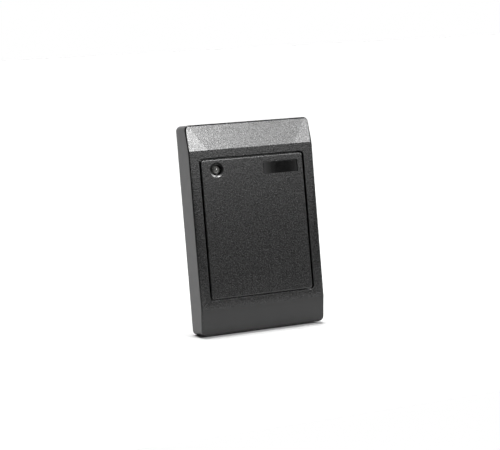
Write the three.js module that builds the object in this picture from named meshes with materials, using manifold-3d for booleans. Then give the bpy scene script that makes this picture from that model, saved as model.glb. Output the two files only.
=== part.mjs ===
// Wall-mounted proximity card reader, modelled piece by piece in millimetres.
// +X is to the reader's right as seen from the front, -Y is the front, +Z is up.
// The origin is the centre of the flat back that lies against the wall.
import * as THREE from "three";
import { mergeVertices } from "three/addons/utils/BufferGeometryUtils.js";
import Module from "manifold-3d";

const wasm = await Module();
wasm.setup();

// ---------------------------------------------------------------- driving dimensions
const WIDTH = 75;
const HEIGHT = 115;
const DEPTH = 15;
const CORNER_RADIUS = 2.8; // outline corners
const EDGE_RADIUS = 0.8; // rounding between the front and the sides
const BAND_START = 43.3; // height above centre where the sloped end bands begin
const BAND_DROP = 2.6; // how far each band falls back at its outer edge
const MITRE_FOOT = 26.3; // where the mitre of the upper band meets its lower line
const MITRE_TOP = 35.8; // where that mitre meets the top edge
const MITRE_DROP = 0.4; // extra fall of the mitred corner at its outer edge

const WALL = 2; // side wall beside the rear cover
const LEDGE = 1.6; // ledge that carries the seal
const COVER_THICKNESS = 2;
const SEAL_SPACE = 0.6;
const PANEL_HALF_WIDTH = 30.7;
const PANEL_HALF_HEIGHT = 37.9;
const PANEL_GAP = 1; // visible gap all round the front panel
const PANEL_THICKNESS = 2.2;
const PANEL_CORNER = 1.5;
const RECESS_DEPTH = 2.4;
const FLOOR_THICKNESS = 1.8; // of the housing behind the front panel
const CLEAR = 0.3; // assembly clearance

const FRONT_Y = -DEPTH;
const RECESS_Y = FRONT_Y + RECESS_DEPTH;
const FLOOR_Y = RECESS_Y + FLOOR_THICKNESS;
const LEDGE_Y = -COVER_THICKNESS - SEAL_SPACE;
const BOARD_THICKNESS = 1.6;
const BOARD_FRONT_Y = -6.6;
const BOARD_REAR_Y = BOARD_FRONT_Y + BOARD_THICKNESS;
const BOARD = { halfWidth: 27.5, halfHeight: 38, notchHalfWidth: 8.7, notchFoot: 23.5 };
const COIL = { outerX: 33, outerZ: 47.5, band: 4.5, backY: -7.6, frontY: -10.6 };
const COIL_LEAD_Z = [-2, -5];

const LED_X = -21.7;
const LED_Z = 32.1;
const LED_RADIUS = 2.5;
const LED_DOME_Y = -12.5; // where the straight body turns into the dome
const LED_LEAD_OFFSETS = [-1.6, 0, 1.6];
const LED_WELL_RADIUS = 4.15; // at the front face; the well narrows inwards
const LED_WELL_FOOT_RADIUS = 3.15;
const BADGE = { x: 16.9, z: 31, width: 20.8, height: 6.8, depth: 0.8 };

const WALL_SCREW_Z = 30; // the two wall screws sit 60 mm apart
const WALL_SLOT = { length: 9, width: 5 };
const WALL_POCKET = { length: 13, width: 9 };
const WALL_BOSS = { length: 16, width: 12 };
const WALL_SEAT_Y = -4; // the screw head seats here

const COVER_SCREW_X = 31;
const COVER_SCREW_Z = 51;
const STANDOFF_X = 24;
const STANDOFF_Z = 10;
const POST_X = 25;
const POST_HEIGHTS = [22, -32];
const POST_RADIUS = 1.5;
const POST_LENGTH = 4.5;
const OUTLET_Z = -14; // cable outlet, below the centre of the back
const OUTLET_RADIUS = 4.8;
const GROMMET_BORE = 3.5;
const SOCKET_Z = 1; // cable socket, on the board's rear face
const LABEL = { x: 0, z: 13.5, width: 40, height: 15, depth: 0.3 };

// ---------------------------------------------------------------- colours and finishes
const finish = (color, roughness, metalness = 0) =>
  new THREE.MeshStandardMaterial({ color, roughness, metalness });

const material = {
  housing: finish(0x222223, 0.5),
  panel: finish(0x242425, 0.48),
  badge: finish(0x111112, 0.2),
  resin: finish(0xb9bab4, 0.15),
  rubber: finish(0x151515, 0.85),
  steel: finish(0x9a9da0, 0.35, 1),
  board: finish(0x145a34, 0.45),
  copper: finish(0xb4672f, 0.35, 0.9),
  chip: finish(0x1a1a1c, 0.55),
  ceramic: finish(0xb08a5c, 0.5),
  tin: finish(0xc2c4c4, 0.3, 1),
  socket: finish(0xe6e0cf, 0.5),
  label: finish(0xd9dada, 0.6),
};

// ---------------------------------------------------------------- solids and booleans
function solid(geometry) {
  const bare = geometry.clone();
  bare.deleteAttribute("normal");
  bare.deleteAttribute("uv");
  const merged = mergeVertices(bare, 1e-4);
  return new wasm.Manifold(
    new wasm.Mesh({
      numProp: 3,
      vertProperties: new Float32Array(merged.attributes.position.array),
      triVerts: new Uint32Array(merged.index.array),
    }),
  );
}

function geometryOf(body) {
  const mesh = body.getMesh();
  const positions = new Float32Array(mesh.numVert * 3);
  for (let i = 0; i < mesh.numVert; i++) {
    const start = i * mesh.numProp;
    positions.set(mesh.vertProperties.subarray(start, start + 3), i * 3);
  }
  const geometry = new THREE.BufferGeometry();
  geometry.setAttribute("position", new THREE.BufferAttribute(positions, 3));
  geometry.setIndex(new THREE.BufferAttribute(mesh.triVerts, 1));
  geometry.computeVertexNormals();
  return geometry;
}

const join = (first, ...others) => others.reduce((sum, next) => sum.add(next), first);
const cut = (first, ...others) => others.reduce((rest, next) => rest.subtract(next), first);

// ---------------------------------------------------------------- outlines seen from the front
function roundedRectangle(halfWidth, halfHeight, radius, x = 0, z = 0) {
  const shape = new THREE.Shape();
  shape.absarc(x + halfWidth - radius, z - halfHeight + radius, radius, -Math.PI / 2, 0);
  shape.absarc(x + halfWidth - radius, z + halfHeight - radius, radius, 0, Math.PI / 2);
  shape.absarc(x - halfWidth + radius, z + halfHeight - radius, radius, Math.PI / 2, Math.PI);
  shape.absarc(x - halfWidth + radius, z - halfHeight + radius, radius, Math.PI, Math.PI * 1.5);
  shape.closePath();
  return shape;
}

const stadium = ({ length, width }, x, z) => roundedRectangle(length / 2, width / 2, width / 2, x, z);

// An outline pushed through from yBack, the end nearer the wall, to yFront.
function slab(shape, yBack, yFront, curveSegments = 6) {
  const geometry = new THREE.ExtrudeGeometry(shape, {
    depth: yBack - yFront,
    bevelEnabled: false,
    curveSegments,
  });
  return solid(geometry.rotateX(Math.PI / 2).translate(0, yBack, 0));
}

function block(width, depth, height, x, y, z) {
  return solid(new THREE.BoxGeometry(width, depth, height).translate(x, y, z));
}

// A round bar along Y; the second radius is the one at its front end.
function rod(radius, x, z, yBack, yFront, segments = 20, frontRadius = radius) {
  const geometry = new THREE.CylinderGeometry(radius, frontRadius, yBack - yFront, segments);
  return solid(geometry.translate(x, (yBack + yFront) / 2, z));
}

// A turned piece about the Y axis, from [radius, y] pairs listed with y rising.
function turned(profile, segments = 24) {
  const points = profile.map(([radius, y]) => new THREE.Vector2(radius, y));
  return new THREE.LatheGeometry(points, segments);
}

const eachCorner = (x, z, make) =>
  [[-x, -z], [x, -z], [x, z], [-x, z]].map(([cx, cz]) => make(cx, cz));

// ---------------------------------------------------------------- the assembly
const reader = new THREE.Group();

const casing = new THREE.Group(); // housing, cover and what closes them
const facePanel = new THREE.Group(); // slides off along -Y to uncover the wall screws
const frontOfBoard = new THREE.Group(); // y = 0 is the board's front face
const rearOfBoard = new THREE.Group(); // turned round, so that its y = 0 is the board's rear face
frontOfBoard.position.y = BOARD_FRONT_Y;
rearOfBoard.position.y = BOARD_REAR_Y;
rearOfBoard.rotation.z = Math.PI;
reader.add(casing, facePanel, frontOfBoard, rearOfBoard);

function add(group, name, body, finishName, x = 0, y = 0, z = 0) {
  const geometry = body.isBufferGeometry ? body : geometryOf(body);
  const mesh = new THREE.Mesh(geometry, material[finishName].clone());
  mesh.name = name;
  mesh.position.set(x, y, z);
  group.add(mesh);
}

// ---------------------------------------------------------------- front housing
const BAND_SLOPE = BAND_DROP / (HEIGHT / 2 - BAND_START);
const faceY = (z) => FRONT_Y + BAND_SLOPE * Math.max(0, Math.abs(z) - BAND_START);

// The outline, inset a little, as its right half from bottom to top and then its left half back down.
function outlineRing(inset, yAt) {
  const arcSteps = 8;
  const radius = CORNER_RADIUS - inset;
  const x = WIDTH / 2 - CORNER_RADIUS;
  const z = HEIGHT / 2 - CORNER_RADIUS;
  const arc = (from, cz) =>
    Array.from({ length: arcSteps + 1 }, (_, i) => {
      const angle = from + (i / arcSteps) * (Math.PI / 2);
      return [x + radius * Math.cos(angle), cz + radius * Math.sin(angle)];
    });
  const side = WIDTH / 2 - inset;
  const right = [...arc(-Math.PI / 2, -z), [side, -BAND_START], [side, BAND_START], ...arc(0, z)];
  const left = right.map(([px, pz]) => [-px, pz]).reverse();
  return [...right, ...left].map(([px, pz]) => new THREE.Vector3(px, yAt(pz), pz));
}

// Rings joined by walls; each end is closed by level strips, so that the bands keep straight creases.
function lofted(rings) {
  const count = rings[0].length;
  const half = count / 2;
  const index = [];
  const quad = (a, b, c, d) => index.push(a, b, c, a, c, d);
  for (let r = 0; r + 1 < rings.length; r++) {
    for (let i = 0; i < count; i++) {
      const next = (i + 1) % count;
      quad(r * count + i, r * count + next, (r + 1) * count + next, (r + 1) * count + i);
    }
  }
  const last = (rings.length - 1) * count;
  for (let i = 0; i + 1 < half; i++) {
    const [a, b, c, d] = [i, i + 1, count - 2 - i, count - 1 - i];
    quad(a, d, c, b);
    quad(last + a, last + b, last + c, last + d);
  }
  const geometry = new THREE.BufferGeometry();
  const positions = rings.flat().flatMap((p) => [p.x, p.y, p.z]);
  geometry.setAttribute("position", new THREE.Float32BufferAttribute(positions, 3));
  geometry.setIndex(index);
  return geometry;
}

function housingBlank() {
  const filletSteps = 3;
  const rings = [outlineRing(0, () => 0)];
  for (let i = 0; i <= filletSteps; i++) {
    const angle = (i / filletSteps) * (Math.PI / 2);
    const inset = EDGE_RADIUS * (1 - Math.cos(angle));
    const back = EDGE_RADIUS * (1 - Math.sin(angle));
    rings.push(outlineRing(inset, (z) => faceY(z) + back));
  }
  return solid(lofted(rings));
}

// Takes a thin wedge off one end of the upper band, out from its mitre line.
function mitreCutter(side) {
  const fallOutwards = MITRE_DROP / (WIDTH / 2 - MITRE_FOOT);
  const fallUpwards =
    (BAND_DROP - fallOutwards * (MITRE_TOP - MITRE_FOOT)) / (HEIGHT / 2 - BAND_START);
  const reach = 16;
  const box = new THREE.BoxGeometry(reach, 5, reach);
  box.translate(side * (MITRE_FOOT + reach / 2 - 1), -2.5, BAND_START + reach / 2);
  const shear = new THREE.Matrix4().set(
    1, 0, 0, 0,
    side * fallOutwards, 1, fallUpwards, FRONT_Y - fallOutwards * MITRE_FOOT - fallUpwards * BAND_START,
    0, 0, 1, 0,
    0, 0, 0, 1,
  );
  return solid(box.applyMatrix4(shear));
}

function frontHousing() {
  const openingX = WIDTH / 2 - WALL;
  const openingZ = HEIGHT / 2 - WALL;
  const recess = roundedRectangle(
    PANEL_HALF_WIDTH + PANEL_GAP, PANEL_HALF_HEIGHT + PANEL_GAP, PANEL_CORNER + PANEL_GAP,
  );
  const shell = cut(
    housingBlank(),
    mitreCutter(1),
    mitreCutter(-1),
    slab(roundedRectangle(openingX, openingZ, 2.5), 1, LEDGE_Y),
    slab(roundedRectangle(openingX - LEDGE, openingZ - LEDGE, 2), LEDGE_Y + 1, FLOOR_Y),
    slab(recess, RECESS_Y, FRONT_Y - 1),
  );
  const wallBosses = [WALL_SCREW_Z, -WALL_SCREW_Z].map((z) =>
    slab(stadium(WALL_BOSS, 0, z), 0, FLOOR_Y - 0.5),
  );
  const coverBosses = eachCorner(COVER_SCREW_X, COVER_SCREW_Z, (x, z) =>
    rod(3, x, z, LEDGE_Y, FLOOR_Y - 0.5),
  );
  const standoffs = eachCorner(STANDOFF_X, STANDOFF_Z, (x, z) =>
    rod(2.5, x, z, BOARD_FRONT_Y, FLOOR_Y - 0.5),
  );
  const socketBack = RECESS_Y + POST_LENGTH + 0.9;
  const eachPost = (make) => POST_HEIGHTS.flatMap((z) => [make(-POST_X, z), make(POST_X, z)]);
  const filled = join(
    shell,
    ...wallBosses,
    ...coverBosses,
    ...standoffs,
    ...eachPost((x, z) => rod(2.8, x, z, socketBack, FLOOR_Y - 0.5)),
  );
  const wallHoles = [WALL_SCREW_Z, -WALL_SCREW_Z].flatMap((z) => [
    slab(stadium(WALL_POCKET, 0, z), WALL_SEAT_Y, FRONT_Y),
    slab(stadium(WALL_SLOT, 0, z), 1, FRONT_Y),
  ]);
  return cut(
    filled,
    ...wallHoles,
    ...eachCorner(COVER_SCREW_X, COVER_SCREW_Z, (x, z) => rod(1.1, x, z, 0, -8, 12)),
    ...eachCorner(STANDOFF_X, STANDOFF_Z, (x, z) => rod(1, x, z, 0, -9.6, 12)),
    ...eachPost((x, z) => rod(POST_RADIUS + 0.12, x, z, socketBack - 0.7, FRONT_Y, 16)),
    rod(LED_RADIUS + CLEAR, LED_X, LED_Z, FLOOR_Y + 1, RECESS_Y - 1, 24),
  );
}

// ---------------------------------------------------------------- front panel and its badge
function frontPanel() {
  const edge = 0.4;
  const shape = roundedRectangle(
    PANEL_HALF_WIDTH - edge, PANEL_HALF_HEIGHT - edge, PANEL_CORNER - edge,
  );
  const bevelled = new THREE.ExtrudeGeometry(shape, {
    depth: PANEL_THICKNESS - edge,
    bevelThickness: edge,
    bevelSize: edge,
    bevelSegments: 2,
    curveSegments: 4,
  });
  const backY = FRONT_Y + PANEL_THICKNESS;
  const raw = solid(bevelled.rotateX(Math.PI / 2).translate(0, backY, 0));
  const plate = cut(raw, block(WIDTH, 2, HEIGHT, 0, backY + 1, 0)); // a flat back
  const posts = POST_HEIGHTS.flatMap((z) =>
    [-POST_X, POST_X].map((x) => rod(POST_RADIUS, x, z, backY + POST_LENGTH, backY - 0.5, 16)),
  );
  const badgeRecess = block(
    BADGE.width, 2 * BADGE.depth, BADGE.height, BADGE.x, FRONT_Y, BADGE.z,
  );
  // The well is carried past both faces on the same taper.
  const past = 1;
  const taper = (LED_WELL_RADIUS - LED_WELL_FOOT_RADIUS) / PANEL_THICKNESS;
  const well = rod(
    LED_WELL_FOOT_RADIUS - taper * past, LED_X, LED_Z, backY + past, FRONT_Y - past, 32,
    LED_WELL_RADIUS + taper * past,
  );
  return cut(join(plate, ...posts), badgeRecess, well);
}

function badgePlate() {
  const border = 0.2;
  const shape = roundedRectangle(
    BADGE.width / 2 - border, BADGE.height / 2 - border, 0.3, BADGE.x, BADGE.z,
  );
  const backY = FRONT_Y + BADGE.depth - 0.05;
  return slab(shape, backY, backY - 0.6, 2);
}

// ---------------------------------------------------------------- back: cover, seal, screws, outlet
function rearCover() {
  const halfWidth = WIDTH / 2 - WALL - CLEAR;
  const halfHeight = HEIGHT / 2 - WALL - CLEAR;
  const plate = slab(roundedRectangle(halfWidth, halfHeight, 2.2), 0, -COVER_THICKNESS);
  const grown = { length: WALL_BOSS.length + 2 * CLEAR, width: WALL_BOSS.width + 2 * CLEAR };
  const bossHoles = [WALL_SCREW_Z, -WALL_SCREW_Z].map((z) => slab(stadium(grown, 0, z), 1, -3));
  const screwHoles = eachCorner(COVER_SCREW_X, COVER_SCREW_Z, (x, z) =>
    join(rod(1.35, x, z, 1, -3, 16), rod(2.55, x, z, 0.1, -1.35, 16, 1.2)),
  );
  const outlet = join(
    rod(OUTLET_RADIUS + 0.1, 0, OUTLET_Z, 1, -3, 28),
    rod(6.7, 0, OUTLET_Z, 1, -1, 28),
  );
  const labelShape = roundedRectangle(
    LABEL.width / 2, LABEL.height / 2, 1, LABEL.x, LABEL.z,
  );
  return cut(plate, ...bossHoles, ...screwHoles, outlet, slab(labelShape, 1, -LABEL.depth));
}

function rearSeal() {
  const outerX = WIDTH / 2 - WALL - 0.2;
  const outerZ = HEIGHT / 2 - WALL - 0.2;
  const shape = roundedRectangle(outerX, outerZ, 2.3);
  shape.holes.push(roundedRectangle(outerX - 1.2, outerZ - 1.2, 1.4));
  return slab(shape, -COVER_THICKNESS - 0.02, LEDGE_Y + 0.02);
}

function countersunkScrew() {
  const head = solid(turned([
    [0, -6.6], [0.5, -6.3], [0.95, -5.4], [0.95, -1.35], [2.2, -0.1], [0, -0.1],
  ], 20));
  return cut(head, block(2.4, 1.6, 0.5, 0, 0, 0), block(0.5, 1.6, 2.4, 0, 0, 0));
}

function panHeadScrew() {
  const head = solid(turned([
    [0, -4.2], [0.4, -4], [0.85, -3.2], [0.85, 0], [1.8, 0], [1.8, 0.7], [1.3, 1.15], [0, 1.2],
  ], 20));
  return cut(head, block(2, 1.4, 0.45, 0, 1.2, 0), block(0.45, 1.4, 2, 0, 1.2, 0));
}

// A rubber ring with a flange on each face of the cover.
function cableGrommet() {
  return turned([
    [GROMMET_BORE, -3.1], [6, -3.1], [6, -COVER_THICKNESS - 0.05],
    [OUTLET_RADIUS, -COVER_THICKNESS - 0.05], [OUTLET_RADIUS, -0.95],
    [6.5, -0.95], [6.5, -0.35], [6.2, -0.05], [GROMMET_BORE + 0.4, -0.05],
    [GROMMET_BORE, -0.45], [GROMMET_BORE, -3.1],
  ], 28);
}

function ratingLabel() {
  const shape = roundedRectangle(
    LABEL.width / 2 - 0.4, LABEL.height / 2 - 0.4, 0.8, LABEL.x, LABEL.z,
  );
  return slab(shape, -0.08, -LABEL.depth + 0.02, 3);
}

// ---------------------------------------------------------------- circuit board and antenna
function circuitBoard() {
  const outline = roundedRectangle(BOARD.halfWidth, BOARD.halfHeight, 1);
  const board = slab(outline, BOARD_REAR_Y, BOARD_FRONT_Y, 3);
  // Notches at top and bottom clear the wall screw bosses.
  const reach = (BOARD.halfHeight - BOARD.notchFoot) / 2 + 1;
  const notches = [1, -1].map((side) => {
    const notch = roundedRectangle(BOARD.notchHalfWidth, reach, 1, 0, side * (BOARD.notchFoot + reach));
    return slab(notch, BOARD_REAR_Y + 1, BOARD_FRONT_Y - 1, 3);
  });
  const screwHoles = eachCorner(STANDOFF_X, STANDOFF_Z, (x, z) =>
    rod(1.1, x, z, BOARD_REAR_Y + 1, BOARD_FRONT_Y - 1, 14),
  );
  const leadHoles = LED_LEAD_OFFSETS.map((dx) =>
    rod(0.45, LED_X + dx, LED_Z, BOARD_REAR_Y + 1, BOARD_FRONT_Y - 1, 8),
  );
  return cut(board, ...notches, ...screwHoles, ...leadHoles);
}

function antennaCoil() {
  const shape = roundedRectangle(COIL.outerX, COIL.outerZ, 9);
  shape.holes.push(roundedRectangle(COIL.outerX - COIL.band, COIL.outerZ - COIL.band, 4.5));
  return slab(shape, COIL.backY, COIL.frontY, 8);
}

// One end of the winding, from the inner side of the coil to its pad on the board.
function coilLead(z) {
  const innerX = -(COIL.outerX - COIL.band);
  const route = new THREE.CatmullRomCurve3([
    new THREE.Vector3(innerX + 0.3, -8.8, z),
    new THREE.Vector3(innerX + 0.8, -8.4, z),
    new THREE.Vector3(innerX + 1.5, -7.6, z),
    new THREE.Vector3(innerX + 2.4, -7.1, z),
    new THREE.Vector3(innerX + 3.6, -6.9, z),
  ]);
  const section = new THREE.Shape().absarc(0, 0, 0.25, 0, Math.PI * 2);
  return new THREE.ExtrudeGeometry(section, { steps: 10, extrudePath: route, curveSegments: 8 });
}

// ---------------------------------------------------------------- indicator
function statusLed() {
  const flangeY = BOARD_FRONT_Y - 0.05;
  const domeHeight = 2.3;
  const domeSteps = 7;
  const profile = [];
  for (let i = 0; i <= domeSteps; i++) {
    const angle = (i / domeSteps) * (Math.PI / 2);
    const radius = i === 0 ? 0 : LED_RADIUS * Math.sin(angle);
    profile.push([radius, LED_DOME_Y - domeHeight * Math.cos(angle)]);
  }
  profile.push([LED_RADIUS, flangeY - 1], [2.9, flangeY - 1], [2.9, flangeY], [0, flangeY]);
  return turned(profile, 32);
}

function ledLead() {
  return block(0.5, 3, 0.5, 0, BOARD_FRONT_Y + 1.5, 0);
}

// ---------------------------------------------------------------- parts on the board
// Each is built on a board face at y = 0 and stands out along -Y.
function gullWingLead(reach, height) {
  const shape = new THREE.Shape();
  shape.moveTo(-0.5, height);
  shape.lineTo(reach * 0.4, height);
  shape.lineTo(reach * 0.55, 0.2);
  shape.lineTo(reach, 0.2);
  shape.lineTo(reach, 0.02);
  shape.lineTo(reach * 0.4, 0.02);
  shape.lineTo(reach * 0.25, height - 0.18);
  shape.lineTo(-0.5, height - 0.18);
  shape.closePath();
  return new THREE.ExtrudeGeometry(shape, { depth: 0.42, bevelEnabled: false });
}

function chip(length, width, height, leadsPerSide, pitch) {
  const reach = 1.2;
  const parts = [block(width, height - 0.15, length, 0, -(height + 0.15) / 2, 0)];
  for (let i = 0; i < leadsPerSide; i++) {
    const z = (i - (leadsPerSide - 1) / 2) * pitch;
    for (const turn of [0, Math.PI]) {
      const lead = gullWingLead(reach, height * 0.55).translate(width / 2, 0, -0.21);
      lead.rotateX(Math.PI).rotateY(turn).translate(0, 0, z);
      parts.push(solid(lead));
    }
  }
  const pinOneDimple = rod(0.4, -width / 2 + 1, length / 2 - 1, 0, -height - 1, 10).intersect(
    block(2, 0.3, 2, -width / 2 + 1, -height, length / 2 - 1),
  );
  return cut(join(...parts), pinOneDimple);
}

function buzzer() {
  const can = solid(turned([[0, -3.4], [5.6, -3.4], [6, -3], [6, -0.05], [0, -0.05]], 28));
  return cut(can, rod(1, 0, 0, -2.6, -4, 14));
}

function electrolyticCapacitor() {
  const base = block(5.2, 0.9, 5.2, 0, -0.5, 0);
  const can = solid(turned([[0, -3.9], [2.2, -3.9], [2.45, -3.6], [2.45, -0.7], [0, -0.7]], 20));
  return join(base, can);
}

function crystal() {
  const shape = roundedRectangle(5.6, 2.3, 2.3);
  return slab(shape, -0.05, -3.5, 6);
}

// A moulded body with a short tab at each end, as on a diode, or with three legs as on a transistor.
function tabbedPart(length, width, height, tabs) {
  const body = block(length, height - 0.1, width, 0, -(height + 0.1) / 2, 0);
  return join(body, ...tabs.map(([x, z, dx, dz]) => block(dx, 0.5, dz, x, -0.27, z)));
}

const twoTabs = (length) => [[-length / 2, 0, 1.2, 1.4], [length / 2, 0, 1.2, 1.4]];
const transistorLegs = [[-0.95, 1, 0.45, 1.2], [0.95, 1, 0.45, 1.2], [0, -1, 0.45, 1.2]];
const regulatorLegs = [[-2.3, 2.6, 0.8, 2], [0, 2.6, 0.8, 2], [2.3, 2.6, 0.8, 2], [0, -2.6, 3, 2]];

const tuningCapacitor = () => block(4.5, 1.6, 3.2, 0, -0.85, 0);

function chipResistor() {
  return join(
    block(2.4, 0.5, 1.6, 0, -0.29, 0),
    block(0.5, 0.56, 1.6, -1.4, -0.3, 0),
    block(0.5, 0.56, 1.6, 1.4, -0.3, 0),
  );
}

// Eight-way side-entry socket; its mouth faces down, towards the cable outlet.
function cableSocket() {
  const body = block(13, 2.7, 5, 0, -1.4, 0);
  return cut(body, block(11.4, 1.7, 4, 0, -1.45, -1.5), block(4, 2, 1.6, 0, -2.6, -2));
}

// ---------------------------------------------------------------- put everything in place
add(casing, "front_housing", frontHousing(), "housing");
add(casing, "rear_cover", rearCover(), "housing");
add(casing, "rear_seal", rearSeal(), "rubber");
add(casing, "rating_label", ratingLabel(), "label");
add(casing, "cable_grommet", cableGrommet(), "rubber", 0, 0, OUTLET_Z);
eachCorner(COVER_SCREW_X, COVER_SCREW_Z, (x, z) => [x, z]).forEach(([x, z], i) =>
  add(casing, `rear_cover_screw_${i + 1}`, countersunkScrew(), "steel", x, 0, z),
);

add(facePanel, "front_panel", frontPanel(), "panel");
add(facePanel, "badge_plate", badgePlate(), "badge");

add(reader, "circuit_board", circuitBoard(), "board");
add(reader, "antenna_coil", antennaCoil(), "copper");
COIL_LEAD_Z.forEach((z, i) => add(reader, `coil_lead_${i + 1}`, coilLead(z), "copper"));
eachCorner(STANDOFF_X, STANDOFF_Z, (x, z) => [x, z]).forEach(([x, z], i) =>
  add(reader, `board_screw_${i + 1}`, panHeadScrew(), "steel", x, BOARD_REAR_Y + 0.05, z),
);
add(reader, "status_led", statusLed(), "resin", LED_X, 0, LED_Z);
LED_LEAD_OFFSETS.forEach((dx, i) =>
  add(reader, `led_lead_${i + 1}`, ledLead(), "tin", LED_X + dx, 0.02, LED_Z),
);

const RESISTOR_PLACES = [[-14, 33], [-19, 18], [-19, -30], [-12, -34], [14, 27], [20, 31]];
const boardParts = [
  ["microcontroller", chip(12.8, 7.5, 2.4, 9, 1.27), "chip", -9, 6],
  ["radio_chip", chip(8.7, 3.9, 1.7, 7, 1.27), "chip", 6, 8],
  ["buzzer", buzzer(), "chip", 14, -7],
  ["crystal", crystal(), "steel", -9, -7],
  ["smoothing_capacitor_1", electrolyticCapacitor(), "steel", 1, -17],
  ["smoothing_capacitor_2", electrolyticCapacitor(), "steel", 14, -21],
  ["voltage_regulator", tabbedPart(6.5, 3.5, 1.7, regulatorLegs), "chip", 17, -30],
  ["supply_diode", tabbedPart(4.3, 2.6, 2.2, twoTabs(4.3)), "chip", -14, -18],
  ["surge_suppressor", tabbedPart(4.3, 2.6, 2.2, twoTabs(4.3)), "chip", -14, -24],
  ["driver_transistor_1", tabbedPart(2.9, 1.3, 1, transistorLegs), "chip", -16, 23],
  ["driver_transistor_2", tabbedPart(2.9, 1.3, 1, transistorLegs), "chip", -12, 27],
  ["driver_transistor_3", tabbedPart(2.9, 1.3, 1, transistorLegs), "chip", 4, -6],
  ["tuning_capacitor_1", tuningCapacitor(), "ceramic", 14, 12],
  ["tuning_capacitor_2", tuningCapacitor(), "ceramic", 14, 18],
  ...RESISTOR_PLACES.map(([x, z], i) => [`resistor_${i + 1}`, chipResistor(), "ceramic", x, z]),
];
for (const [name, body, finishName, x, z] of boardParts) {
  add(frontOfBoard, name, body, finishName, x, 0, z);
}
add(rearOfBoard, "cable_socket", cableSocket(), "socket", 0, 0, SOCKET_Z);

export default reader;
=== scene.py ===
"""A black wall-mounted proximity card reader: moulded housing, pull-off front panel, status light."""
import math

import bmesh
import bpy
from mathutils import Matrix, Vector


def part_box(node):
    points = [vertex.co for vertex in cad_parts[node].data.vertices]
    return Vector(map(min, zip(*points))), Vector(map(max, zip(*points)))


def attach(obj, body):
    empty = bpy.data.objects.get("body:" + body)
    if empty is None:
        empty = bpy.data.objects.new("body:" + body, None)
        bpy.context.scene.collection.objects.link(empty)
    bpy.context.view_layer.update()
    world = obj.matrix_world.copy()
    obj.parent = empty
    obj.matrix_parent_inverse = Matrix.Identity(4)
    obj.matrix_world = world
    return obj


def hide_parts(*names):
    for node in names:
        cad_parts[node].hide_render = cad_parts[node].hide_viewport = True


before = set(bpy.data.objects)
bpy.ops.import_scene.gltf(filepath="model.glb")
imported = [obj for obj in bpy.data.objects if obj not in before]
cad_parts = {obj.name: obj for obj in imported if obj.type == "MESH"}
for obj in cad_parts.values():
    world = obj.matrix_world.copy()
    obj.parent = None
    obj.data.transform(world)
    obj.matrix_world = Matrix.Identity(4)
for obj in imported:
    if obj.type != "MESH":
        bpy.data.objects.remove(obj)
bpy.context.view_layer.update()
MM = 0.001

# ------------------------------------------------------------------ dimensions, taken from the frame
housing_low, housing_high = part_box("front_housing")
panel_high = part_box("front_panel")[1]
badge_low, badge_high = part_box("badge_plate")
led_low, led_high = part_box("status_led")

HALF_W = housing_high.x
HALF_H = housing_high.z
FRONT = housing_low.y
CORNER = 2.8 * MM  # outline corners
EDGE = 0.8 * MM  # rounding between front and sides
BACK_EDGE = 0.15 * MM
BAND_START = 43.3 * MM  # height above centre where the sloped end bands begin
BAND_DROP = 2.6 * MM  # their fall towards the wall at the ends of the housing
BAND_SLOPE = BAND_DROP / (HALF_H - BAND_START)
MITRE_FOOT = 26.3 * MM  # the upper band's mitred corners start here at BAND_START
MITRE_TOP = 35.8 * MM  # and here at the top edge
MITRE_DROP = 0.4 * MM  # their fall at the side, at BAND_START
MITRE_OUT = MITRE_DROP / (HALF_W - MITRE_FOOT)
MITRE_UP = (BAND_DROP - MITRE_OUT * (MITRE_TOP - MITRE_FOOT)) / (HALF_H - BAND_START)
WALL = 2 * MM
LEDGE = 1.6 * MM  # the rear cover rests on it
LEDGE_DEPTH = -2.6 * MM
LIP = 0.12 * MM  # rounding at the mouths of the recess and the dish

PANEL_W = panel_high.x
PANEL_H = panel_high.z
PANEL_BACK = FRONT + 2.2 * MM
PANEL_CORNER = 1.5 * MM
SHOULDER_WIDTH = 0.65 * MM  # soft rounding of the panel's front edge
SHOULDER_DEPTH = 0.22 * MM
GAP = 1.0 * MM  # round the panel
RECESS_BACK = FRONT + 2.4 * MM
FLOOR_BACK = RECESS_BACK + 1.8 * MM  # back of the wall behind the panel

POSTS = [(x * MM, z * MM) for x in (-25, 25) for z in (22, -32)]  # they hold the panel
POST_RADIUS = 1.5 * MM
POST_LENGTH = 4.5 * MM
SOCKET_RADIUS = 1.62 * MM  # for a post
WALL_SCREWS = [-30 * MM, 30 * MM]  # heights
SCREW_SLOT = (4.5 * MM, 2.5 * MM)  # half its width and half its height
SCREW_POCKET = (6.5 * MM, 4.5 * MM)  # room for the screw's head, in front of the slot
SCREW_BOSS = (8 * MM, 6 * MM)
POCKET_BACK = -4 * MM
COVER_SCREWS = [(x * MM, z * MM) for x in (-31, 31) for z in (-51, 51)]
STANDOFFS = [(x * MM, z * MM) for x in (-24, 24) for z in (-10, 10)]
LED_X = (led_low.x + led_high.x) / 2
LED_Z = (led_low.z + led_high.z) / 2
LED_RADIUS = 2.5 * MM
LED_FLANGE = 2.9 * MM
LED_DOME = -12.5 * MM  # where the straight body turns into the dome
LED_DOME_HEIGHT = 2.3 * MM
BADGE_X = (badge_low.x + badge_high.x) / 2
BADGE_Z = (badge_low.z + badge_high.z) / 2
BADGE_HALF_W = (badge_high.x - badge_low.x) / 2
BADGE_HALF_H = (badge_high.z - badge_low.z) / 2
BADGE_CORNER = 0.3 * MM
BADGE_GAP = 0.3 * MM  # round the badge plate in its pocket
POCKET_DEPTH = 0.8 * MM
DISH_RADIUS = 4.15 * MM  # shallow dish in the panel round the status light
DISH_DEPTH = 0.2 * MM
BORE_RADIUS = 2.95 * MM


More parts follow.
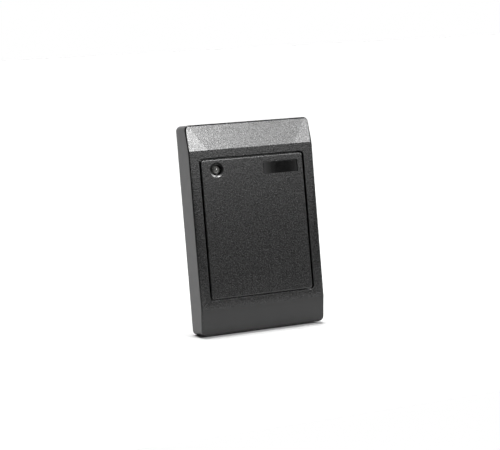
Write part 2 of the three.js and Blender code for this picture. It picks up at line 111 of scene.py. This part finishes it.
# ------------------------------------------------------------------ outlines and solids
def rounded(half_w, half_h, radius, steps=12, x=0.0, z=0.0):
    """A rounded rectangle as (x, z) points, anticlockwise seen from the front."""
    points = []
    for turn, (sx, sz) in enumerate([(1, -1), (1, 1), (-1, 1), (-1, -1)]):
        cx = x + sx * (half_w - radius)
        cz = z + sz * (half_h - radius)
        for i in range(steps + 1):
            angle = math.radians(-90 + 90 * turn + 90 * i / steps)
            points.append((cx + radius * math.cos(angle), cz + radius * math.sin(angle)))
    return points


def circle(radius, steps=48, x=0.0, z=0.0):
    angles = [2 * math.pi * i / steps for i in range(steps)]
    return [(x + radius * math.cos(a), z + radius * math.sin(a)) for a in angles]


def ring(points, y):
    return [(px, y, pz) for px, pz in points]


def loft(rings, name="cutter"):
    """A closed solid through rings of equal length, listed from the back to the front."""
    bm = bmesh.new()
    loops = [[bm.verts.new(p) for p in points] for points in rings]
    for lower, upper in zip(loops, loops[1:]):
        for i in range(len(lower)):
            j = (i + 1) % len(lower)
            bm.faces.new((lower[i], lower[j], upper[j], upper[i]))
    bm.faces.new(list(reversed(loops[0])))
    bm.faces.new(loops[-1])
    bmesh.ops.remove_doubles(bm, verts=bm.verts, dist=1e-8)
    bmesh.ops.recalc_face_normals(bm, faces=bm.faces)
    mesh = bpy.data.meshes.new(name)
    bm.to_mesh(mesh)
    bm.free()
    piece = bpy.data.objects.new(name, mesh)
    bpy.context.scene.collection.objects.link(piece)
    return piece


def prism(points, back, front, name="cutter"):
    return loft([ring(points, back), ring(points, front)], name)


def rod(radius, x, z, back, front, steps=48):
    return prism(circle(radius, steps, x, z), back, front)


def lathe(profile, steps=64, x=0.0, z=0.0, name="cutter"):
    """A solid turned about the Y axis from (radius, y) pairs that run from the back to the front."""
    rings = [ring(circle(max(r, 1e-6), steps, x, z), y) for r, y in profile]
    return loft(rings, name)


def combine(target, others, operation):
    """Cuts others out of target, or joins them to it, and removes them."""
    for other in others:
        modifier = target.modifiers.new("boolean", "BOOLEAN")
        modifier.operation = operation
        modifier.solver = "EXACT"
        modifier.object = other
    bpy.context.view_layer.update()
    evaluated = target.evaluated_get(bpy.context.evaluated_depsgraph_get())
    mesh = bpy.data.meshes.new_from_object(evaluated)
    target.modifiers.clear()
    old = target.data
    target.data = mesh
    bpy.data.meshes.remove(old)
    for other in others:
        bpy.data.meshes.remove(other.data)


def bevel_edges(piece, pick, width, segments):
    """Rounds the edges that pick(edge) chooses. A clamp would thin them all at the mitre's small step."""
    bm = bmesh.new()
    bm.from_mesh(piece.data)
    edges = [e for e in bm.edges if len(e.link_faces) == 2 and pick(e)]
    bmesh.ops.bevel(
        bm, geom=edges, offset=width, segments=segments, profile=0.5, affect="EDGES", clamp_overlap=False
    )
    bm.to_mesh(piece.data)
    bm.free()


def flared(points_at, back, front, radius, steps=5):
    """A cutter whose mouth at front opens by a rounded lip; points_at(grow) gives its outline."""
    rings = [ring(points_at(0.0), back), ring(points_at(0.0), front + radius)]
    for i in range(1, steps + 1):
        angle = math.radians(90 * i / steps)
        grow = radius * (1 - math.cos(angle))
        rings.append(ring(points_at(grow), front + radius * (1 - math.sin(angle))))
    rings.append(ring(points_at(radius), front - MM))
    return loft(rings)


def finish_shading(piece, planes, angle=32):
    """Smooth shading with true flats; an edge between two of the given planes stays a crisp crease."""
    mesh = piece.data
    mesh.shade_smooth()
    mesh.set_sharp_from_angle(angle=math.radians(angle))

    def plane_of(face):
        for index, normal in enumerate(planes):
            if face.normal.dot(normal) > 0.99999:
                return index
        return None

    bm = bmesh.new()
    bm.from_mesh(mesh)
    bm.normal_update()
    for edge in bm.edges:
        if len(edge.link_faces) != 2:
            continue
        first, second = (plane_of(f) for f in edge.link_faces)
        if first is not None and second is not None and first != second:
            edge.smooth = False
    bm.to_mesh(mesh)
    bm.free()
    weighted = piece.modifiers.new("flats", "WEIGHTED_NORMAL")
    weighted.mode = "FACE_AREA"
    weighted.weight = 60
    weighted.keep_sharp = True


# ------------------------------------------------------------------ camera
CAMERA_PLACE = Vector((-373.54, -817.32, 41.05)) * MM
CAMERA_AIM = Vector((1.93, -0.90, -0.22)) * MM
CAMERA_ROLL = math.radians(4.72)
CAMERA_LENS = 115.9


def make_camera():
    data = bpy.data.cameras.new("camera")
    data.lens = CAMERA_LENS
    data.sensor_width = 36
    data.clip_start = 0.01
    camera = bpy.data.objects.new("camera", data)
    bpy.context.scene.collection.objects.link(camera)
    forward = (CAMERA_AIM - CAMERA_PLACE).normalized()
    level_right = forward.cross(Vector((0, 0, 1))).normalized()
    level_up = level_right.cross(forward)
    right = level_right * math.cos(CAMERA_ROLL) - level_up * math.sin(CAMERA_ROLL)
    up = right.cross(forward)
    turn = Matrix((right, up, -forward)).transposed()
    camera.matrix_world = Matrix.Translation(CAMERA_PLACE) @ turn.to_4x4()
    bpy.context.scene.camera = camera


make_camera()


# ------------------------------------------------------------------ materials
class Nodes:
    """A material's node tree, with short calls for what the materials below share."""

    def __init__(self, name, color, roughness, metallic=0.0):
        self.material = bpy.data.materials.new(name)
        self.material.use_nodes = True
        self.tree = self.material.node_tree
        self.shader = self.tree.nodes["Principled BSDF"]
        self.shader.inputs["Base Color"].default_value = (*color, 1)
        self.shader.inputs["Roughness"].default_value = roughness
        self.shader.inputs["Metallic"].default_value = metallic
        self.place = self.add("ShaderNodeTexCoord").outputs["Object"]

    def add(self, kind, **settings):
        node = self.tree.nodes.new(kind)
        for key, value in settings.items():
            setattr(node, key, value)
        return node

    def link(self, source, target):
        self.tree.links.new(source, target)

    def noise(self, feature, detail=2.0, roughness=0.5):
        """Noise whose blobs are about feature metres across."""
        node = self.add("ShaderNodeTexNoise")
        node.inputs["Scale"].default_value = 0.5 / feature
        node.inputs["Detail"].default_value = detail
        node.inputs["Roughness"].default_value = roughness
        self.link(self.place, node.inputs["Vector"])
        return node.outputs["Fac"]

    def spread(self, source, low, high, input_name, start=0.3, end=0.7):
        """Feeds an input of the shader with source, remapped to run from low to high."""
        node = self.add("ShaderNodeMapRange")
        node.inputs["From Min"].default_value = start
        node.inputs["From Max"].default_value = end
        node.inputs["To Min"].default_value = low
        node.inputs["To Max"].default_value = high
        self.link(source, node.inputs["Value"])
        self.link(node.outputs["Result"], self.shader.inputs[input_name])

    def tint(self, source, dark, light, start=0.3, end=0.7):
        """Base colour that runs from dark to light with source."""
        node = self.add("ShaderNodeValToRGB")
        node.color_ramp.elements[0].position = start
        node.color_ramp.elements[0].color = (*dark, 1)
        node.color_ramp.elements[1].position = end
        node.color_ramp.elements[1].color = (*light, 1)
        self.link(source, node.inputs["Fac"])
        self.link(node.outputs["Color"], self.shader.inputs["Base Color"])

    def bump(self, heights):
        """Stacks (source, height in metres) pairs into one bump."""
        normal = None
        for source, height in heights:
            node = self.add("ShaderNodeBump")
            node.inputs["Strength"].default_value = 1.0
            node.inputs["Distance"].default_value = height
            self.link(source, node.inputs["Height"])
            if normal is not None:
                self.link(normal, node.inputs["Normal"])
            normal = node.outputs["Normal"]
        self.link(normal, self.shader.inputs["Normal"])


def grain_and_painted_glints(name):
    """Black ABS with a spark-eroded grain: matt and glossy specks over a slightly uneven surface, with
    base colour specks that are partly the grain's own tone and partly painted glints.
    """
    n = Nodes(name, (0.007, 0.007, 0.007), 0.27)
    # Painted glints: the lighter specks of base colour stand in for the lights sparkling on the grain;
    # the darker specks are the grain's own tone.
    n.tint(n.noise(0.33 * MM, 0.0), (0.0005, 0.0005, 0.0005), (0.021, 0.021, 0.021))
    n.spread(n.noise(0.3 * MM, 0.0), 0.215, 0.285, "Roughness")
    n.bump([(n.noise(0.45 * MM, 1.0), 0.04 * MM), (n.noise(0.2 * MM, 1.0), 0.03 * MM)])
    return n.material


def smooth_plastic(name):
    """The same ABS from a smoother part of the mould."""
    n = Nodes(name, (0.006, 0.006, 0.006), 0.3)
    n.tint(n.noise(5 * MM), (0.005, 0.005, 0.005), (0.007, 0.007, 0.007))
    n.spread(n.noise(2 * MM), 0.28, 0.32, "Roughness")
    n.bump([(n.noise(0.3 * MM, 1.0), 0.002 * MM)])
    return n.material


def plain(name, color, roughness, metallic=0.0, feature=1.0 * MM, height=0.004 * MM):
    """A slightly uneven finish for the parts that hardly show."""
    n = Nodes(name, color, roughness, metallic)
    dark = tuple(0.85 * c for c in color)
    light = tuple(min(1.0, 1.12 * c) for c in color)
    n.tint(n.noise(feature), dark, light)
    n.spread(n.noise(feature / 2), 0.88 * roughness, 1.12 * roughness, "Roughness")
    n.bump([(n.noise(feature / 4, 1.0), height)])
    return n.material


def badge_film_painted_reflection():
    """Smoked gloss film, darkest near its middle and greyer towards both ends; the greyer ends are
    painted reflection of the key light.
    """
    n = Nodes("badge_gloss_painted_reflection", (0.006, 0.006, 0.006), 0.13)
    split = n.add("ShaderNodeSeparateXYZ")
    n.link(n.place, split.inputs["Vector"])
    offset = n.add("ShaderNodeMath", operation="SUBTRACT")
    n.link(split.outputs["X"], offset.inputs[0])
    offset.inputs[1].default_value = BADGE_X + 1.5 * MM
    away = n.add("ShaderNodeMath", operation="ABSOLUTE")
    n.link(offset.outputs["Value"], away.inputs[0])
    # Painted reflection: the base colour turns greyer with distance from a point near the middle,
    # standing in for the key light's reflection at the ends.
    n.tint(away.outputs["Value"], (0.004, 0.004, 0.004), (0.042, 0.042, 0.042), 6 * MM, 12 * MM)
    n.spread(n.noise(0.4 * MM), 0.11, 0.15, "Roughness")
    return n.material


FRAME_GRAIN_PAINTED_GLINTS = grain_and_painted_glints("housing_grain_painted_glints")
PANEL_GRAIN_PAINTED_GLINTS = grain_and_painted_glints("panel_grain_painted_glints")
SMOOTH = smooth_plastic("housing_smooth")
BADGE = badge_film_painted_reflection()
POLISHED = plain("polished_plastic", (0.003, 0.003, 0.003), 0.23, height=0.001 * MM)
RUBBER = plain("rubber", (0.015, 0.015, 0.015), 0.75)
STEEL = plain("zinc_steel", (0.55, 0.55, 0.53), 0.32, 1.0, feature=0.5 * MM)
LABEL = plain("silver_film", (0.55, 0.56, 0.56), 0.42, feature=0.3 * MM, height=0.001 * MM)
BOARD = plain("solder_mask", (0.012, 0.13, 0.05), 0.38, feature=2 * MM)
COPPER = plain("enamelled_copper", (0.52, 0.2, 0.07), 0.3, 0.9, feature=0.4 * MM)
EPOXY = plain("moulded_epoxy", (0.016, 0.016, 0.018), 0.5)
CERAMIC = plain("fired_ceramic", (0.42, 0.28, 0.15), 0.5)
TIN = plain("tinned_wire", (0.72, 0.72, 0.7), 0.28, 1.0)
SOCKET = plain("natural_nylon", (0.72, 0.67, 0.55), 0.45)


def resin_material():
    n = Nodes("led_resin", (0.24, 0.24, 0.23), 0.06)
    n.shader.inputs["Transmission Weight"].default_value = 0.6
    n.shader.inputs["IOR"].default_value = 1.52
    n.tint(n.noise(1.2 * MM), (0.21, 0.21, 0.2), (0.27, 0.27, 0.26))
    return n.material


RESIN = resin_material()


# ------------------------------------------------------------------ front housing
FLAT = Vector((0, -1, 0))
TOP_BAND = Vector((0, -1, BAND_SLOPE)).normalized()
BOTTOM_BAND = Vector((0, -1, -BAND_SLOPE)).normalized()
MITRES = [Vector((side * MITRE_OUT, -1, MITRE_UP)).normalized() for side in (-1, 1)]
FRONT_PLANES = [FLAT, TOP_BAND, BOTTOM_BAND, *MITRES]


def plane_cutter(height_at, x_span, z_span):
    """A block in front of the sloped plane y = height_at(x, z), over the given spans."""
    (left, right), (low, high) = x_span, z_span
    corners = [(left, low), (right, low), (right, high), (left, high)]
    back = [(x, height_at(x, z), z) for x, z in corners]
    front = [(x, FRONT - 3 * MM, z) for x, z in corners]
    return loft([back, front])


def band_cutters():
    reach = (-HALF_W - MM, HALF_W + MM)

    def fall(x, z):
        return FRONT + BAND_SLOPE * (abs(z) - BAND_START)

    cutters = [plane_cutter(fall, reach, (BAND_START, HALF_H + MM))]
    cutters.append(plane_cutter(fall, reach, (-HALF_H - MM, -BAND_START)))
    for side in (-1, 1):
        def mitre(x, z, side=side):
            return FRONT + MITRE_OUT * (side * x - MITRE_FOOT) + MITRE_UP * (z - BAND_START)

        span = sorted((side * (MITRE_FOOT - MM), side * (HALF_W + MM)))
        cutters.append(plane_cutter(mitre, span, (BAND_START, HALF_H + MM)))
    return cutters


def on_outline(vertex):
    """True where a vertex lies on the housing's side walls."""
    x, z = abs(vertex.co.x), abs(vertex.co.z)
    dx, dz = x - (HALF_W - CORNER), z - (HALF_H - CORNER)
    if dx > 0 and dz > 0:
        return abs(math.hypot(dx, dz) - CORNER) < 0.02 * MM
    return abs(x - HALF_W) < 0.01 * MM or abs(z - HALF_H) < 0.01 * MM


def perimeter(at_front):
    def pick(edge):
        if not all(on_outline(v) for v in edge.verts):
            return False
        if at_front:
            faces = [f.normal.y < -0.9 for f in edge.link_faces]
        else:
            faces = [f.normal.y > 0.9 for f in edge.link_faces]
        return any(faces) and not all(faces)

    return pick


def join_coplanar(piece):
    """Removes the seams that the cutters leave within flat faces."""
    bm = bmesh.new()
    bm.from_mesh(piece.data)
    bmesh.ops.remove_doubles(bm, verts=bm.verts, dist=1e-7)
    bmesh.ops.dissolve_limit(bm, angle_limit=math.radians(0.5), verts=bm.verts, edges=bm.edges)
    bm.to_mesh(piece.data)
    bm.free()


def slot_outline(half_size, z, steps=16):
    """An outline with round ends, on the middle line at the height z."""
    half_w, half_h = half_size
    return rounded(half_w, half_h, half_h, steps, 0, z)


def recess_outline(grow):
    return rounded(PANEL_W + GAP + grow, PANEL_H + GAP + grow, PANEL_CORNER + GAP + grow)


def housing_cavities():
    """The rear opening, the room for the electronics and the panel's recess."""
    half_w, half_h = HALF_W - WALL, HALF_H - WALL
    return [
        prism(rounded(half_w, half_h, 2.5 * MM), MM, LEDGE_DEPTH),
        prism(rounded(half_w - LEDGE, half_h - LEDGE, 2 * MM), -2 * MM, FLOOR_BACK),
        flared(recess_outline, RECESS_BACK, FRONT, LIP),
    ]


def housing_bosses():
    """Pillars that stand on the back of the wall behind the panel."""
    root = FLOOR_BACK - 0.5 * MM
    bosses = [prism(slot_outline(SCREW_BOSS, z), 0, root) for z in WALL_SCREWS]
    bosses += [rod(3 * MM, x, z, LEDGE_DEPTH, root) for x, z in COVER_SCREWS]
    bosses += [rod(2.5 * MM, x, z, -6.6 * MM, root) for x, z in STANDOFFS]
    bosses += [rod(2.8 * MM, x, z, -7.2 * MM, root) for x, z in POSTS]
    return bosses


def housing_holes():
    """The light's hole, wall-screw pockets and slots, sockets for the posts, screw holes."""
    holes = [rod(LED_RADIUS + 0.3 * MM, LED_X, LED_Z, FLOOR_BACK + MM, RECESS_BACK - MM)]
    for z in WALL_SCREWS:
        holes.append(prism(slot_outline(SCREW_POCKET, z), POCKET_BACK, FRONT))
        holes.append(prism(slot_outline(SCREW_SLOT, z, 12), MM, POCKET_BACK - MM))
    holes += [rod(SOCKET_RADIUS, x, z, -7.9 * MM, FRONT, 32) for x, z in POSTS]
    holes += [rod(1.1 * MM, x, z, 0, -8 * MM, 24) for x, z in COVER_SCREWS]
    holes += [rod(1.0 * MM, x, z, 0, -9.6 * MM, 24) for x, z in STANDOFFS]
    return holes


def paint(piece, materials, index_for):
    piece.data.materials.clear()
    for material in materials:
        piece.data.materials.append(material)
    for face in piece.data.polygons:
        face.material_index = index_for(face)


def housing_finish(face):
    """Grain with painted glints on the front, polish in the recess, smooth on the lower band, the sides
    and inside.
    """
    if face.normal.y >= -0.9 or face.center.y >= FRONT + BAND_DROP + EDGE:
        return 1
    if abs(face.center.y - RECESS_BACK) < 0.01 * MM and abs(face.center.z) < BAND_START:
        return 2
    return 0 if face.normal.dot(BOTTOM_BAND) < 0.9999 else 1


def make_housing():
    body = prism(rounded(HALF_W, HALF_H, CORNER, 16), 0, FRONT, "housing_shell")
    combine(body, band_cutters(), "DIFFERENCE")
    join_coplanar(body)
    bevel_edges(body, perimeter(True), EDGE, 8)
    bevel_edges(body, perimeter(False), BACK_EDGE, 2)
    combine(body, housing_cavities(), "DIFFERENCE")
    combine(body, housing_bosses(), "UNION")
    combine(body, housing_holes(), "DIFFERENCE")
    paint(body, (FRAME_GRAIN_PAINTED_GLINTS, SMOOTH, POLISHED), housing_finish)
    finish_shading(body, FRONT_PLANES)
    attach(body, "reader")
    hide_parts("front_housing")


# ------------------------------------------------------------------ front panel and badge
def badge_pocket():
    def outline(grow):
        half_w, half_h = BADGE_HALF_W + BADGE_GAP + grow, BADGE_HALF_H + BADGE_GAP + grow
        return rounded(half_w, half_h, 0.25 * MM + grow, 6, BADGE_X, BADGE_Z)

    return flared(outline, FRONT + POCKET_DEPTH, FRONT, 0.08 * MM)


def light_well():
    """A shallow dish with a straight bore behind it."""
    foot = FRONT + DISH_DEPTH
    profile = [
        (BORE_RADIUS, PANEL_BACK + MM),
        (BORE_RADIUS, foot + 0.1 * MM),
        (BORE_RADIUS + 0.03 * MM, foot + 0.03 * MM),
        (BORE_RADIUS + 0.1 * MM, foot),
        (DISH_RADIUS - LIP, FRONT + 0.01 * MM),
        (DISH_RADIUS, FRONT - 0.005 * MM),
        (DISH_RADIUS + LIP, FRONT - MM),
    ]
    return lathe(profile, 96, LED_X, LED_Z)


def panel_finish(face):
    """Grain with painted glints on the front and its shoulder, polish in the dish and bore, smooth
    elsewhere.
    """
    near_front = face.center.y < FRONT + 0.2 * MM
    if face.normal.y < -0.9999 and near_front:
        return 0
    if math.hypot(face.center.x - LED_X, face.center.z - LED_Z) < DISH_RADIUS + 0.2 * MM:
        return 2
    return 0 if face.normal.y < -0.9 and near_front else 1


def make_panel():
    def outline(inset):
        return rounded(PANEL_W - inset, PANEL_H - inset, PANEL_CORNER - inset, 12)

    rings = [ring(outline(0.0), PANEL_BACK), ring(outline(0.0), FRONT + SHOULDER_DEPTH)]
    steps = 10
    for i in range(1, steps + 1):
        angle = math.radians(90 * i / steps)
        inset = SHOULDER_WIDTH * (1 - math.cos(angle))
        rings.append(ring(outline(inset), FRONT + SHOULDER_DEPTH * (1 - math.sin(angle))))
    panel = loft(rings, "face_cover")
    posts = [rod(POST_RADIUS, x, z, PANEL_BACK + POST_LENGTH, PANEL_BACK - MM, 40) for x, z in POSTS]
    combine(panel, posts, "UNION")
    combine(panel, [badge_pocket(), light_well()], "DIFFERENCE")
    paint(panel, (PANEL_GRAIN_PAINTED_GLINTS, SMOOTH, POLISHED), panel_finish)
    finish_shading(panel, [FLAT])
    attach(panel, "face_panel")
    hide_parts("front_panel")


def make_badge():
    def outline(inset):
        half_w, half_h = BADGE_HALF_W - inset, BADGE_HALF_H - inset
        return rounded(half_w, half_h, BADGE_CORNER - inset, 8, BADGE_X, BADGE_Z)

    edge = 0.12 * MM
    rings = [ring(outline(0.0), badge_high.y)]
    steps = 4
    for i in range(steps + 1):
        angle = math.radians(90 * i / steps)
        inset = edge * (1 - math.cos(angle))
        rings.append(ring(outline(inset), badge_low.y + edge * (1 - math.sin(angle))))
    badge = loft(rings, "badge")
    badge.data.materials.append(BADGE)
    finish_shading(badge, [FLAT])
    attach(badge, "face_panel")
    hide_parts("badge_plate")


# ------------------------------------------------------------------ status light
def make_led():
    """A domed resin body round a small reflector cup."""
    back = led_high.y
    flange = back - MM
    profile = [(0, back), (LED_FLANGE, back), (LED_FLANGE, flange)]
    profile += [(LED_RADIUS, flange), (LED_RADIUS, LED_DOME)]
    steps = 16
    for i in range(1, steps + 1):
        angle = math.radians(90 * i / steps)
        profile.append((LED_RADIUS * math.cos(angle), LED_DOME - LED_DOME_HEIGHT * math.sin(angle)))
    lens = lathe(profile, 64, LED_X, LED_Z, "led_lens")
    lens.data.materials.append(RESIN)
    finish_shading(lens, [FLAT], 50)
    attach(lens, "reader")
    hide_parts("status_led")

    cup_profile = [(0.45, -8.2), (0.45, -9.6), (0.95, -10.2), (1.15, -10.8), (0.95, -10.8), (0.5, -10.3),
                   (0, -10.3)]
    cup = lathe([(r * MM, y * MM) for r, y in cup_profile], 40, LED_X + 0.3 * MM, LED_Z, "led_cup")
    cup.data.materials.append(TIN)
    finish_shading(cup, [FLAT], 50)
    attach(cup, "reader")


# ------------------------------------------------------------------ CAD nodes that keep their shape
CAD_LOOKS = {
    "rear_cover": SMOOTH, "rear_seal": RUBBER, "cable_grommet": RUBBER, "rating_label": LABEL,
    "circuit_board": BOARD, "antenna_coil": COPPER, "coil_lead": COPPER, "led_lead": TIN,
    "rear_cover_screw": STEEL, "board_screw": STEEL, "crystal": STEEL, "smoothing_capacitor": STEEL,
    "buzzer": EPOXY, "microcontroller": EPOXY, "radio_chip": EPOXY, "voltage_regulator": EPOXY,
    "supply_diode": EPOXY, "surge_suppressor": EPOXY, "driver_transistor": EPOXY,
    "tuning_capacitor": CERAMIC, "resistor": CERAMIC, "cable_socket": SOCKET,
}
REPLACED = {"front_housing", "front_panel", "badge_plate", "status_led"}


def dress_cad_nodes():
    for name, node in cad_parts.items():
        if name in REPLACED:
            continue
        stem = name.rstrip("0123456789").rstrip("_") if name[-1].isdigit() else name
        node.data.materials.clear()
        node.data.materials.append(CAD_LOOKS[stem])
        node.data.shade_smooth()
        node.data.set_sharp_from_angle(angle=math.radians(32))
        bevel = node.modifiers.new("edges", "BEVEL")
        bevel.width = 0.1 * MM
        bevel.segments = 2
        bevel.limit_method = "ANGLE"
        bevel.angle_limit = math.radians(40)
        bevel.harden_normals = True


make_housing()
make_panel()
make_badge()
make_led()
dress_cad_nodes()


# ------------------------------------------------------------------ floor, light and backdrop
FLOOR_TILT = math.radians(5.5)  # the reader leans back a little from where it stands
# Pairs of x and distance behind the reader's back. Nothing pale lies at the front left, so the front
# left edge stays dark.
FLOOR_OUTLINE = [(-0.2, -0.2), (6, -0.2), (6, 6), (-4.5, 6), (-0.2, 0)]


def make_floor():
    """A pale floor that touches the lower back edge."""
    mesh = bpy.data.meshes.new("floor")
    vertices = []
    for x, along in FLOOR_OUTLINE:
        vertices.append((x, along * math.cos(FLOOR_TILT), -HALF_H + along * math.sin(FLOOR_TILT)))
    mesh.from_pydata(vertices, [], [(0, 1, 2, 3, 4)])
    floor = bpy.data.objects.new("floor", mesh)
    bpy.context.scene.collection.objects.link(floor)
    n = Nodes("floor_paper", (0.9, 0.9, 0.9), 0.9)
    n.tint(n.noise(0.05), (0.89, 0.89, 0.89), (0.91, 0.91, 0.91))
    mesh.materials.append(n.material)


def toward_light(azimuth, elevation):
    """Unit vector from the reader. Azimuth 0 is straight in front, positive to the right."""
    a, e = math.radians(azimuth), math.radians(elevation)
    return Vector((math.sin(a) * math.cos(e), -math.cos(a) * math.cos(e), math.sin(e)))


def area_light(name, azimuth, elevation, distance, width, height, power):
    """A softbox that faces the reader."""
    data = bpy.data.lights.new(name, "AREA")
    data.shape = "RECTANGLE"
    data.size = width
    data.size_y = height
    data.energy = power
    light = bpy.data.objects.new(name, data)
    bpy.context.scene.collection.objects.link(light)
    place = toward_light(azimuth, elevation) * distance
    light.location = place
    light.rotation_euler = (-place).to_track_quat("-Z", "Y").to_euler()


def sun_light(name, azimuth, elevation, spread, strength):
    """A wide distant light, for the even white of the floor."""
    data = bpy.data.lights.new(name, "SUN")
    data.angle = math.radians(spread)
    data.energy = strength
    light = bpy.data.objects.new(name, data)
    bpy.context.scene.collection.objects.link(light)
    light.rotation_euler = (-toward_light(azimuth, elevation)).to_track_quat("-Z", "Y").to_euler()


def make_world():
    """White for the camera; the object is lit by, and mirrors, a room that is white only at the back."""
    world = bpy.data.worlds.new("studio")
    bpy.context.scene.world = world
    world.use_nodes = True
    nodes, links = world.node_tree.nodes, world.node_tree.links
    nodes.clear()
    direction = nodes.new("ShaderNodeTexCoord")
    split = nodes.new("ShaderNodeSeparateXYZ")
    links.new(direction.outputs["Generated"], split.inputs["Vector"])
    shade = nodes.new("ShaderNodeMapRange")
    shade.interpolation_type = "SMOOTHSTEP"
    shade.inputs["From Min"].default_value = 0.45
    shade.inputs["From Max"].default_value = 0.85
    shade.inputs["To Min"].default_value = 0.01
    shade.inputs["To Max"].default_value = 1.0
    links.new(split.outputs["Y"], shade.inputs["Value"])
    room = nodes.new("ShaderNodeBackground")
    links.new(shade.outputs["Result"], room.inputs["Strength"])
    backdrop = nodes.new("ShaderNodeBackground")
    backdrop.inputs["Strength"].default_value = 1.0
    for node in (room, backdrop):
        node.inputs["Color"].default_value = (1, 1, 1, 1)
    seen = nodes.new("ShaderNodeLightPath")
    mix = nodes.new("ShaderNodeMixShader")
    links.new(seen.outputs["Is Camera Ray"], mix.inputs["Fac"])
    links.new(room.outputs["Background"], mix.inputs[1])
    links.new(backdrop.outputs["Background"], mix.inputs[2])
    output = nodes.new("ShaderNodeOutputWorld")
    links.new(mix.outputs["Shader"], output.inputs["Surface"])


make_floor()
make_world()
area_light("key", 17.8, 20, distance=1.5, width=0.08, height=0.40, power=10.8)
area_light("side_key", 36.6, 16.8, distance=1.5, width=0.067, height=0.45, power=8.2)
area_light("low_glow", 18, 8, distance=1.5, width=0.25, height=0.1, power=0.8)
sun_light("ceiling", 155, 89, spread=16, strength=3.5)

bpy.context.scene.view_settings.view_transform = "Standard"
bpy.context.view_layer.update()
